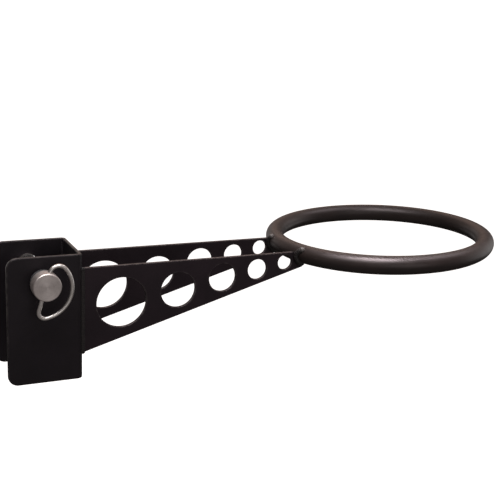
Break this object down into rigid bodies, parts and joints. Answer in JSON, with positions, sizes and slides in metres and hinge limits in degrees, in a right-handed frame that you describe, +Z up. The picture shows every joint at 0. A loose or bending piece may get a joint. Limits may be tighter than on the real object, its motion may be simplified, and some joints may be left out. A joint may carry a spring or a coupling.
{
  "type": "rack-mounted training ring",
  "caption": "Steel hoop on tapered perforated arms, carried by a U bracket that fits over a square rack upright and locks with a magnetic pull pin and wire bail.",
  "frame": {"origin": "on the inner face of the bracket's web, at mid-width, level with the pin's axis", "axes": "+X out along the arms to the ring, +Z up, +Y across the bracket; the pin pulls out along -Y"},
  "size_m": [0.7139, 0.3304, 0.165],
  "materials": {
    "bracket_coat": "satin black powder coat on bent steel plate",
    "ring_coat": "satin black powder coat on round tube",
    "weld_coat": "black powder coat over a rippled weld bead",
    "turned_steel": "turned stainless, fine tool marks",
    "wire_steel": "drawn stainless wire",
    "magnet_ferrite": "dark sintered ferrite, matt"
  },
  "bodies": {
    "frame": {"upright_bracket": "bracket_coat", "near_arm": "bracket_coat", "far_arm": "bracket_coat", "ring_tube": "ring_coat", "near_web_weld_outer": "weld_coat", "near_web_weld_inner": "weld_coat", "far_web_weld_outer": "weld_coat", "far_web_weld_inner": "weld_coat", "near_ring_weld_outer": "weld_coat", "near_ring_weld_inner": "weld_coat", "far_ring_weld_outer": "weld_coat", "far_ring_weld_inner": "weld_coat"},
    "magnet": {"magnet_ring": "magnet_ferrite"},
    "pin": {"pin_shank": "turned_steel", "pin_knob": "turned_steel"},
    "bail": {"pull_bail": "wire_steel"}
  },
  "joints": [
    {"name": "pin_pull", "type": "slide", "parent": "frame", "child": "magnet", "axis": [0, -1, 0], "range_m": [0, 0.105]},
    {"name": "pin_turn", "type": "hinge", "parent": "magnet", "child": "pin", "pos_m": [-0.046, -0.06, 0], "axis": [0, -1, 0], "continuous": true},
    {"name": "bail_swing", "type": "hinge", "parent": "pin", "child": "bail", "pos_m": [-0.046, -0.06535, 0], "axis": [0.2807, 0, 0.9598], "range_deg": [-208, 28]}
  ]
}
